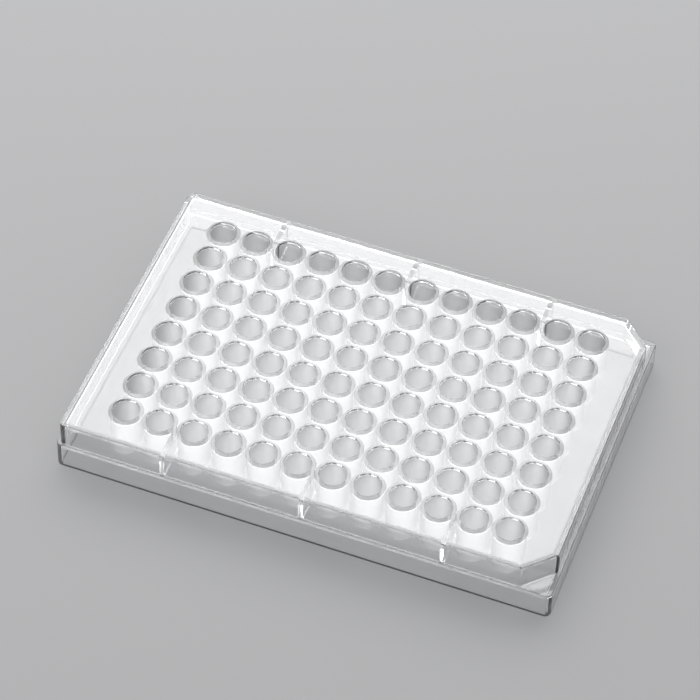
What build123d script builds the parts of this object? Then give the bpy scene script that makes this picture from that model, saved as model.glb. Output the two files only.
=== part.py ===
from build123d import *
from math import cos, pi, radians, sin
import os

# A 96-well microplate, moulded in one piece of clear polystyrene.
# Millimetres. The origin is the middle of the footprint on the bench and +Z is up.
# +X runs from the first column of wells to the last, and +Y from the last row to the first.

# The grid of wells, and what is left round it.
columns = 12
rows = 8
pitch = 9.0
end_margin = 14.38          # from the first column's centres to the end of the plate
side_margin = 11.24         # from the first row's centres to the side of the plate

# Heights above the bench.
plate_height = 14.35        # the deck's face
flange_height = 7.62        # the top of the wide foot that a gripper holds

# The outline.
foot_corner_radius = 1.6
lid_ledge = 0.9             # the step round the deck, where a lid's rim sits
deck_corner_radius = 1.2    # the two plain corners, by the first column
keying_cut = 7.2            # the two cut corners, by the last column
edge_break = 0.3            # along the outer top edges
draft = 0.5                 # degrees, on the skirt

# The walls.
skirt_wall = 1.2
ledge_thickness = 1.2
deck_thickness = 1.2

# One well. It is round in the moulding. Here it has flats, so that 96 of them stay light:
# its diameters are across the flats.
well_mouth_diameter = 6.86
well_floor_diameter = 6.35
well_depth = 10.67
well_wall_at_floor = 0.8
well_wall_at_deck = 0.9
well_floor_thickness = 1.27
bore_flats = 24
outer_flats = 12

# The ribs that tie the two long walls to the outer wells.
rib_thickness = 1.2
rib_every = 4               # wells from one rib to the next

# Sizes that follow from the ones above.
grid_length = (columns - 1) * pitch
grid_width = (rows - 1) * pitch
plate_length = grid_length + 2 * end_margin
plate_width = grid_width + 2 * side_margin
deck_length = plate_length - 2 * lid_ledge
deck_width = plate_width - 2 * lid_ledge
deck_underside = plate_height - deck_thickness
deck_middle = plate_height - deck_thickness / 2
ledge_underside = flange_height - ledge_thickness
well_floor_height = plate_height - well_depth
well_foot_height = well_floor_height - well_floor_thickness


def raised(outline, bottom, top, taper=0):
    """A flat outline raised from one height to another, narrowing upwards by a taper in degrees."""
    return extrude(Pos(0, 0, bottom) * outline, top - bottom, taper=taper)


def break_top_edge(block):
    """Takes the sharpness off a block's upper rim."""
    return chamfer(block.faces().sort_by(Axis.Z)[-1].edges(), edge_break)


def foot():
    """The wide lower part, up to the ledge."""
    outline = RectangleRounded(plate_length, plate_width, foot_corner_radius)
    return break_top_edge(raised(outline, 0, flange_height, draft))


def foot_hollow():
    """The inside of the foot."""
    outline = Rectangle(plate_length - 2 * skirt_wall, plate_width - 2 * skirt_wall)
    return raised(outline, 0, ledge_underside, draft)


def upper_part():
    """The narrower part above the ledge, with two of its corners cut off to show which way round it is."""
    outline = Rectangle(deck_length, deck_width)
    outline = chamfer(outline.vertices().group_by(Axis.X)[-1], keying_cut)
    outline = fillet(outline.vertices().group_by(Axis.X)[0], deck_corner_radius)
    return break_top_edge(raised(outline, ledge_underside, plate_height, draft))


def upper_hollow():
    """The space under the deck, one wall inside the upper part all round."""
    outline = Rectangle(deck_length - 2 * skirt_wall, deck_width - 2 * skirt_wall)
    cut = keying_cut - skirt_wall * (2 - 2**0.5)
    outline = chamfer(outline.vertices().group_by(Axis.X)[-1], cut)
    return raised(outline, 0, deck_underside, draft)


def flatted_cone(flats, bottom, across_bottom, top, across_top, turn=0):
    """An upright taper with flats, from one diameter across them to another."""
    def ring(z, across):
        corner_radius = across / 2 / cos(pi / flats)
        angles = [radians(turn) + 2 * pi * i / flats for i in range(flats)]
        return [(corner_radius * cos(angle), corner_radius * sin(angle), z) for angle in angles]
    lower, upper = ring(bottom, across_bottom), ring(top, across_top)
    sides = [(lower[i - 1], lower[i], upper[i], upper[i - 1]) for i in range(flats)]
    return Solid(Shell([Face(Wire.make_polygon(points)) for points in [lower, upper] + sides]))

def well_outside():
    """The outer wall and foot of one well, up to the middle of the deck's thickness."""
    across_foot = well_floor_diameter + 2 * well_wall_at_floor
    across_top = well_mouth_diameter + 2 * well_wall_at_deck
    flats_to_neighbours = 180 / outer_flats
    return flatted_cone(outer_flats, well_foot_height, across_foot, deck_middle, across_top, flats_to_neighbours)

def well_bore():
    """What is taken out for one well. It has a flat floor and is widest at its mouth."""
    return flatted_cone(bore_flats, well_floor_height, well_floor_diameter, plate_height, well_mouth_diameter)

def ribs():
    """Upright webs from the two long walls to the gaps between the outermost wells."""
    height = deck_middle - ledge_underside
    reach = side_margin - lid_ledge - skirt_wall / 2
    web = Box(rib_thickness, reach, height)
    y = (grid_width + reach) / 2
    z = (deck_middle + ledge_underside) / 2
    steps = int((columns / 2 - 1) // rib_every)
    return [Pos(step * rib_every * pitch, side * y, z) * web for step in range(-steps, steps + 1) for side in (-1, 1)]

def well_plate():
    grid = GridLocations(pitch, pitch, columns, rows)
    body = foot() + upper_part() - foot_hollow() - upper_hollow()
    body += ribs() + [place * well_outside() for place in grid]
    return body - [place * well_bore() for place in grid]


os.makedirs("parts", exist_ok=True)
export_step(well_plate(), "parts/well_plate.step")
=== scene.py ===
import math

import bmesh
import bpy
from mathutils import Matrix, Vector


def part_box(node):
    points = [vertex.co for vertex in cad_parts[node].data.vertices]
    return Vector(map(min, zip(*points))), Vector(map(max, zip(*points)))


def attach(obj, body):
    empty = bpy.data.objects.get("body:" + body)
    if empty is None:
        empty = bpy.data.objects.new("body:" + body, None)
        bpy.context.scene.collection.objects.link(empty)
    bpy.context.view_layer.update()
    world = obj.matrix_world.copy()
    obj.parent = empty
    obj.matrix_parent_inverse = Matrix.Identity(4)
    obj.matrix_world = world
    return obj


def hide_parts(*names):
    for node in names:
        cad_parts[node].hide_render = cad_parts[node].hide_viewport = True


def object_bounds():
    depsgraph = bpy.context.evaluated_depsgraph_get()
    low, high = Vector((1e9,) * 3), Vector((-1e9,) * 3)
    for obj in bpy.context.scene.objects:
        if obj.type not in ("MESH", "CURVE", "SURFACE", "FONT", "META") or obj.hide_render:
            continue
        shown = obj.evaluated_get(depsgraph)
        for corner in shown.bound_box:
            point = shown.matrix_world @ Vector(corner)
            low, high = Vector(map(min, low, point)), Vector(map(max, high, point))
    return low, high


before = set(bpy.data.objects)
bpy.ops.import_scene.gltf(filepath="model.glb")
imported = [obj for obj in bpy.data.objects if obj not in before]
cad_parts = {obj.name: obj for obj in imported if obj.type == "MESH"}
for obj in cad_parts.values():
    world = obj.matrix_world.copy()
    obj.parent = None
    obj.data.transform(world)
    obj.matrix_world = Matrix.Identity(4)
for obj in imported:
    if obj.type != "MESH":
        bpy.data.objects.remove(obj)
cad_low, cad_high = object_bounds()

MM = 0.001
TAU = 2 * math.pi

# The plate's sizes in millimetres. Its length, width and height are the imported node's.
low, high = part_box("well_plate")
middle = (low + high) / 2
plate_length = (high.x - low.x) / MM
plate_width = (high.y - low.y) / MM
plate_height = (high.z - low.z) / MM

columns = 12
rows = 8
pitch = 9.0
grid_length = (columns - 1) * pitch
grid_width = (rows - 1) * pitch

flange_height = 7.62
foot_corner = 1.6
lid_ledge = 0.9
deck_corner = 1.2
keying_cut = 7.2
cut_corner = 0.8
hollow_corner = 0.6
smallest_corner = 0.12
draft = 0.5
skirt_wall = 1.2
ledge_thickness = 1.2
deck_thickness = 1.2
ledge_underside = flange_height - ledge_thickness
deck_underside = plate_height - deck_thickness
deck_middle = plate_height - deck_thickness / 2

well_mouth = 6.86
well_floor = 6.35
well_depth = 10.67
well_wall_at_floor = 0.8
well_wall_at_deck = 0.9
well_floor_thickness = 1.27
well_floor_height = plate_height - well_depth
well_foot_height = well_floor_height - well_floor_thickness

rib_thickness = 1.2
rib_every = 4

# Roundings that the moulding has along its edges, and how many steps make them.
edge_round = 0.3
inner_round = 0.5
mouth_round = 0.12
well_floor_round = 0.6
well_foot_round = 0.8
well_top_fillet = 0.12
corner_steps = 6
round_steps = 3
well_floor_steps = 4
well_segments = 48

# How far a solid that is taken away reaches past the surface it opens.
overshoot = 1.0


# Mesh making. Solids are made in millimetres, with the middle of the footprint on the bench as their origin.

def solid(name, shells):
    """A mesh object of closed shells.

    A shell is a list of level rings of equal length, from the lowest up.
    """
    points, faces = [], []
    for rings in shells:
        start, count = len(points), len(rings[0])
        for ring in rings:
            points += ring
        for level in range(len(rings) - 1):
            at = start + level * count
            for i in range(count):
                j = (i + 1) % count
                faces.append((at + i, at + j, at + count + j, at + count + i))
        faces.append(tuple(reversed(range(start, start + count))))
        top = start + (len(rings) - 1) * count
        faces.append(tuple(range(top, top + count)))
    base = Vector((middle.x, middle.y, low.z))
    mesh = bpy.data.meshes.new(name)
    mesh.from_pydata([base + Vector(p) * MM for p in points], [], faces)
    mesh.update()
    made = bpy.data.objects.new(name, mesh)
    bpy.context.scene.collection.objects.link(made)
    return made


def outline(corners, roundings, inset, z):
    """A ring at height z: the corners' polygon, moved inwards by inset, with its corners rounded."""
    ring = []
    count = len(corners)
    for i in range(count):
        before, here, after = (Vector(corners[k % count]) for k in (i - 1, i, i + 1))
        coming, going = (here - before).normalized(), (after - here).normalized()
        turn = math.atan2(coming.x * going.y - coming.y * going.x, coming.dot(going))
        inward = Vector((-coming.y, coming.x)) + Vector((-going.y, going.x))
        inward = inward.normalized() / math.cos(turn / 2)
        radius = max(roundings[i] - inset, smallest_corner)
        centre = here + inward * (inset + radius)
        heading = math.atan2(coming.y, coming.x) - math.pi / 2
        for step in range(corner_steps + 1):
            angle = heading + turn * step / corner_steps
            ring.append((centre.x + radius * math.cos(angle), centre.y + radius * math.sin(angle), z))
    return ring


def quarter(steps=round_steps):
    """Angles from 0 to 90 degrees."""
    return [math.pi / 2 * step / steps for step in range(steps + 1)]


def block(corners, roundings, bottom, top, rounding):
    """Rings of a drafted block with a rounded upper rim."""
    slope = math.tan(math.radians(draft))
    levels = [(0.0, bottom)]
    for angle in quarter():
        z = top - rounding + rounding * math.sin(angle)
        levels.append(((z - bottom) * slope + rounding * (1 - math.cos(angle)), z))
    return [outline(corners, roundings, inset, z) for inset, z in levels]


def rectangle(length, width):
    x, y = length / 2, width / 2
    return [(-x, -y), (x, -y), (x, y), (-x, y)]


def keyed(length, width, cut):
    """A rectangle with its two corners at the last column cut off."""
    x, y = length / 2, width / 2
    return [(-x, -y), (x - cut, -y), (x, cut - y), (x, y - cut), (x - cut, y), (-x, y)]


def turned(profile, centre):
    """Rings of a solid turned about an upright line. The profile is its radius and height, from the bottom up."""
    x, y = centre
    angles = [TAU * (i + 0.5) / well_segments for i in range(well_segments)]
    return [[(x + r * math.cos(angle), y + r * math.sin(angle), z) for angle in angles] for r, z in profile]


def well_outside_profile():
    foot_radius = well_floor / 2 + well_wall_at_floor
    top_radius = well_mouth / 2 + well_wall_at_deck
    slope = (top_radius - foot_radius) / (deck_middle - well_foot_height)
    profile = [(foot_radius - well_foot_round * (1 - math.sin(angle)),
                well_foot_height + well_foot_round * (1 - math.cos(angle)))
               for angle in quarter()]
    fillet_start = deck_underside - well_top_fillet
    shaft_radius = foot_radius + (fillet_start - well_foot_height) * slope
    profile += [(shaft_radius + well_top_fillet * (1 - math.cos(angle)),
                 fillet_start + well_top_fillet * math.sin(angle))
                for angle in quarter()]
    return profile + [(profile[-1][0], deck_middle)]


def well_bore_profile():
    floor_radius, mouth_radius = well_floor / 2, well_mouth / 2
    profile = [(floor_radius - well_floor_round * (1 - math.sin(angle)),
                well_floor_height + well_floor_round * (1 - math.cos(angle)))
               for angle in quarter(well_floor_steps)]
    profile += [(mouth_radius + mouth_round * (1 - math.cos(angle)),
                 plate_height - mouth_round * (1 - math.sin(angle)))
                for angle in quarter()]
    return profile + [(profile[-1][0], plate_height + overshoot)]


def well_centre(column, row):
    return (column - (columns - 1) / 2) * pitch, (row - (rows - 1) / 2) * pitch


def bar(x0, x1, y0, y1, z0, z1):
    return [[(x0, y0, z), (x1, y0, z), (x1, y1, z), (x0, y1, z)] for z in (z0, z1)]


def rib_bars():
    """Upright webs from the two long walls to the gaps between the outermost wells."""
    half = rib_thickness / 2
    near, far = grid_width / 2, plate_width / 2 - lid_ledge - skirt_wall / 2
    steps = int((columns / 2 - 1) // rib_every)
    middles = [step * rib_every * pitch for step in range(-steps, steps + 1)]
    return [bar(x - half, x + half, y0, y1, ledge_underside, deck_middle)
            for x in middles for y0, y1 in ((near, far), (-far, -near))]


def combine(body, other, operation):
    change = body.modifiers.new(other.name, "BOOLEAN")
    change.operation = operation
    change.solver = "MANIFOLD"
    change.object = other


def bake_modifiers(body):
    """Gives the object the mesh that its modifiers make, and takes the modifiers off."""
    shaped = bpy.data.meshes.new_from_object(body.evaluated_get(bpy.context.evaluated_depsgraph_get()))
    body.modifiers.clear()
    body.data = shaped


def make_plate():
    """The whole moulding as one closed mesh, with round wells and rounded edges."""
    foot_outline = rectangle(plate_length, plate_width)
    foot_inside = rectangle(plate_length - 2 * skirt_wall, plate_width - 2 * skirt_wall)
    deck_length, deck_width = plate_length - 2 * lid_ledge, plate_width - 2 * lid_ledge
    deck_outline = keyed(deck_length, deck_width, keying_cut)
    deck_corners = [deck_corner] + [cut_corner] * 4 + [deck_corner]
    inner_cut = keying_cut - skirt_wall * (2 - math.sqrt(2))
    deck_inside = keyed(deck_length - 2 * skirt_wall, deck_width - 2 * skirt_wall, inner_cut)
    centres = [well_centre(column, row) for column in range(columns) for row in range(rows)]

    plate = solid("plate", [block(foot_outline, [foot_corner] * 4, 0, flange_height, edge_round)])
    upper = solid("upper_part", [block(deck_outline, deck_corners, ledge_underside, plate_height, edge_round)])
    foot_hollow = solid("foot_hollow", [
        block(foot_inside, [hollow_corner] * 4, -overshoot, ledge_underside, inner_round)])
    upper_hollow = solid("upper_hollow", [
        block(deck_inside, [hollow_corner] * 6, ledge_underside - overshoot, deck_underside, inner_round)])
    ribs = solid("ribs", rib_bars())
    outsides = solid("well_outsides", [turned(well_outside_profile(), centre) for centre in centres])
    bores = solid("well_bores", [turned(well_bore_profile(), centre) for centre in centres])
    steps = [(upper, "UNION"), (foot_hollow, "DIFFERENCE"), (upper_hollow, "DIFFERENCE"),
             (ribs, "UNION"), (outsides, "UNION"), (bores, "DIFFERENCE")]
    for other, operation in steps:
        combine(plate, other, operation)
    bake_modifiers(plate)
    for other, _ in steps:
        bpy.data.objects.remove(other)
    return plate


def mark_wells(piece):
    """Puts the faces of the bores in the piece's second material, and those of the wells' outsides in its third."""
    bores, outsides = 1, 2
    slack, fillet_slack = 0.01, 0.05
    bore_radius = well_mouth / 2 + slack
    outside_radius = well_mouth / 2 + well_wall_at_deck + fillet_slack
    base = Vector((middle.x, middle.y, low.z))
    for face in piece.data.polygons:
        corners = [(piece.data.vertices[i].co - base) / MM for i in face.vertices]
        column = min(max(round(corners[0].x / pitch + (columns - 1) / 2), 0), columns - 1)
        row = min(max(round(corners[0].y / pitch + (rows - 1) / 2), 0), rows - 1)
        x, y = well_centre(column, row)
        away = max(math.hypot(corner.x - x, corner.y - y) for corner in corners)
        lowest, highest = min(corner.z for corner in corners), max(corner.z for corner in corners)
        if away < bore_radius and lowest > well_floor_height - slack:
            face.material_index = bores
        elif away < outside_radius and highest < deck_underside + slack:
            face.material_index = outsides


def smooth(piece):
    """Smooth shading that stops at sharp edges and at the rims of flat faces, so that those shade flat."""
    sharp = math.radians(35)
    # A face counts as flat when it faces along an axis, give or take the draft.
    flat = math.cos(math.radians(0.8))
    mesh = piece.data
    mesh.polygons.foreach_set("use_smooth", [True] * len(mesh.polygons))
    work = bmesh.new()
    work.from_mesh(mesh)
    for edge in work.edges:
        kinds = {max(abs(part) for part in face.normal) > flat for face in edge.link_faces}
        edge.smooth = len(kinds) == 1 and edge.calc_face_angle(0) < sharp
    work.to_mesh(mesh)
    work.free()
    lean = piece.modifiers.new("face_weighted_normals", "WEIGHTED_NORMAL")
    lean.keep_sharp = True
    lean.weight = 100


# Materials.

def new_material(name):
    material = bpy.data.materials.new(name)
    material.use_nodes = True
    nodes = material.node_tree.nodes
    nodes.clear()
    out = nodes.new("ShaderNodeOutputMaterial")
    return material, nodes, material.node_tree.links, out


def noise(nodes, links, scale, detail):
    """Noise fixed to the piece itself. The scale is in cells per metre."""
    where = nodes.new("ShaderNodeTexCoord")
    made = nodes.new("ShaderNodeTexNoise")
    made.inputs["Scale"].default_value = scale
    made.inputs["Detail"].default_value = detail
    links.new(where.outputs["Object"], made.inputs["Vector"])
    return made


def spread(nodes, links, source, lowest, highest):
    """The noise, which lies mostly between 0.3 and 0.7, spread from lowest to highest."""
    made = nodes.new("ShaderNodeMapRange")
    made.inputs["From Min"].default_value = 0.3
    made.inputs["From Max"].default_value = 0.7
    made.inputs["To Min"].default_value = lowest
    made.inputs["To Max"].default_value = highest
    links.new(source, made.inputs["Value"])
    return made.outputs["Result"]


def blend_colours(nodes, links, source, first, second):
    made = nodes.new("ShaderNodeMix")
    made.data_type = "RGBA"
    made.inputs["A"].default_value = (*first, 1)
    made.inputs["B"].default_value = (*second, 1)
    links.new(source, made.inputs["Factor"])
    return made.outputs["Result"]


def clear_polystyrene(name, clearness, glow, lets_through, ripple_strength):
    """Clear, glossy, faintly cool plastic, with the soft ripple and haze of moulding.

    Glow is the share of haze that lights up from behind, and lets_through the share of a lamp's light
    that passes each surface.
    """
    material, nodes, links, out = new_material(name)
    shader = nodes.new("ShaderNodeBsdfPrincipled")
    shader.inputs["IOR"].default_value = 1.59
    shader.inputs["Transmission Weight"].default_value = clearness
    haze = noise(nodes, links, scale=160, detail=3)
    links.new(blend_colours(nodes, links, haze.outputs["Fac"], (1.0, 1.0, 1.0), (0.985, 0.99, 0.995)),
              shader.inputs["Base Color"])
    links.new(spread(nodes, links, haze.outputs["Fac"], 0.02, 0.10), shader.inputs["Roughness"])
    ripple = noise(nodes, links, scale=260, detail=2)
    bump = nodes.new("ShaderNodeBump")
    bump.inputs["Strength"].default_value = ripple_strength
    bump.inputs["Distance"].default_value = 0.0002
    links.new(ripple.outputs["Fac"], bump.inputs["Height"])
    links.new(bump.outputs["Normal"], shader.inputs["Normal"])
    surface = shader.outputs["BSDF"]
    if glow > 0:
        lit_from_behind = nodes.new("ShaderNodeBsdfTranslucent")
        lit_from_behind.inputs["Color"].default_value = (0.98, 0.98, 0.985, 1)
        hazed = nodes.new("ShaderNodeMixShader")
        hazed.inputs["Fac"].default_value = glow
        links.new(surface, hazed.inputs[1])
        links.new(lit_from_behind.outputs["BSDF"], hazed.inputs[2])
        surface = hazed.outputs["Shader"]
    # Lamps shine through it, a little dimmed and cooled by every wall, so the wells and the floor below are lit.
    passed = nodes.new("ShaderNodeBsdfTransparent")
    passed.inputs["Color"].default_value = (lets_through, lets_through + 0.003, lets_through + 0.006, 1)
    path = nodes.new("ShaderNodeLightPath")
    mix = nodes.new("ShaderNodeMixShader")
    links.new(path.outputs["Is Shadow Ray"], mix.inputs["Fac"])
    links.new(surface, mix.inputs[1])
    links.new(passed.outputs["BSDF"], mix.inputs[2])
    links.new(mix.outputs["Shader"], out.inputs["Surface"])
    return material


def pale_floor():
    material, nodes, links, out = new_material("pale_floor")
    shader = nodes.new("ShaderNodeBsdfPrincipled")
    shader.inputs["Specular IOR Level"].default_value = 0.2
    mottle = noise(nodes, links, scale=6, detail=4)
    links.new(blend_colours(nodes, links, mottle.outputs["Fac"], (0.46, 0.46, 0.465), (0.49, 0.49, 0.495)),
              shader.inputs["Base Color"])
    links.new(spread(nodes, links, mottle.outputs["Fac"], 0.55, 0.65), shader.inputs["Roughness"])
    links.new(shader.outputs["BSDF"], out.inputs["Surface"])
    return material


# The plate.

plate = make_plate()
smooth(plate)
plate.data.materials.clear()
plate.data.materials.append(clear_polystyrene(
    "clear_polystyrene", clearness=0.99, glow=0.0, lets_through=0.92, ripple_strength=0.2))
plate.data.materials.append(clear_polystyrene(
    "clear_polystyrene_bores", clearness=0.97, glow=0.1, lets_through=0.96, ripple_strength=0.3))
plate.data.materials.append(clear_polystyrene(
    "clear_polystyrene_outsides", clearness=0.6, glow=0.62, lets_through=0.96, ripple_strength=0.7))
mark_wells(plate)
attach(plate, "root")
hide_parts("well_plate")


# The stage: a pale floor, a soft box behind and above the plate, a weaker one in front, and a pale surround.

floor_reach = 4.0
floor_segments = 96
floor_angles = [TAU * i / floor_segments for i in range(floor_segments)]
floor_mesh = bpy.data.meshes.new("floor")
floor_mesh.from_pydata(
    [(floor_reach * math.cos(angle), floor_reach * math.sin(angle), cad_low.z) for angle in floor_angles],
    [], [tuple(range(floor_segments))])
floor = bpy.data.objects.new("floor", floor_mesh)
bpy.context.scene.collection.objects.link(floor)
floor_mesh.materials.append(pale_floor())


def towards(azimuth, elevation):
    """The direction from the plate to something seen at this azimuth and elevation. Azimuth 0 is the front."""
    a, e = math.radians(azimuth), math.radians(elevation)
    return Vector((math.sin(a) * math.cos(e), -math.cos(a) * math.cos(e), math.sin(e)))


def soft_box(name, azimuth, elevation, distance, width, height, power):
    """A rectangular lamp that faces the plate. Lengths are in metres and the power in watts."""
    lamp = bpy.data.lights.new(name, "AREA")
    lamp.shape = "RECTANGLE"
    lamp.size, lamp.size_y = width, height
    lamp.energy = power
    made = bpy.data.objects.new(name, lamp)
    made.location = middle + towards(azimuth, elevation) * distance
    made.rotation_euler = towards(azimuth, elevation).to_track_quat("Z", "Y").to_euler()
    bpy.context.scene.collection.objects.link(made)


soft_box("main_soft_box", azimuth=199.5, elevation=45, distance=1.3, width=1.7, height=0.95, power=20)
soft_box("front_soft_box", azimuth=-20.5, elevation=40, distance=1.5, width=0.9, height=0.9, power=6)


def surround(colour, light):
    """A pale surround. The camera, gloss and clear plastic see it as it is; as a light it is weaker."""
    world = bpy.data.worlds.new("surround")
    world.use_nodes = True
    nodes, links = world.node_tree.nodes, world.node_tree.links
    nodes.clear()
    out = nodes.new("ShaderNodeOutputWorld")
    seen, lit = nodes.new("ShaderNodeBackground"), nodes.new("ShaderNodeBackground")
    seen.inputs["Color"].default_value = (*colour, 1)
    lit.inputs["Color"].default_value = (*colour, 1)
    lit.inputs["Strength"].default_value = light
    path = nodes.new("ShaderNodeLightPath")
    mix = nodes.new("ShaderNodeMixShader")
    links.new(path.outputs["Is Diffuse Ray"], mix.inputs["Fac"])
    links.new(seen.outputs["Background"], mix.inputs[1])
    links.new(lit.outputs["Background"], mix.inputs[2])
    links.new(mix.outputs["Shader"], out.inputs["Surface"])
    return world


bpy.context.scene.world = surround(colour=(0.50, 0.50, 0.52), light=0.35)


# The camera, at the photograph's viewing angle. Angles are in degrees, and the lens in millimetres.

view_azimuth = 19.505
view_elevation = 49.678
view_roll = 1.574
view_distance = 0.8011
view_lens = 164.1
look_at = Vector((middle.x, middle.y, low.z)) + Vector((-7.534, 12.368, 7.0)) * MM
back = towards(view_azimuth, view_elevation)
right = (-back).cross(Vector((0, 0, 1))).normalized()
up = right.cross(-back)
roll = math.radians(view_roll)
turned_right = right * math.cos(roll) + up * math.sin(roll)
turned_up = up * math.cos(roll) - right * math.sin(roll)
camera = bpy.data.objects.new("camera", bpy.data.cameras.new("camera"))
camera.data.sensor_width = 36
camera.data.lens = view_lens
camera.data.clip_start = 0.01
camera.matrix_world = Matrix.Translation(look_at + back * view_distance) @ Matrix(
    (turned_right, turned_up, back)).transposed().to_4x4()
bpy.context.scene.collection.objects.link(camera)
bpy.context.scene.camera = camera
bpy.context.scene.view_settings.view_transform = "Standard"

# Light crosses many walls of clear plastic before it leaves the plate.
light_bounces = 24
bpy.context.scene.cycles.max_bounces = light_bounces
bpy.context.scene.cycles.transmission_bounces = light_bounces
bpy.context.scene.cycles.caustics_refractive = False
bpy.context.scene.cycles.caustics_reflective = False
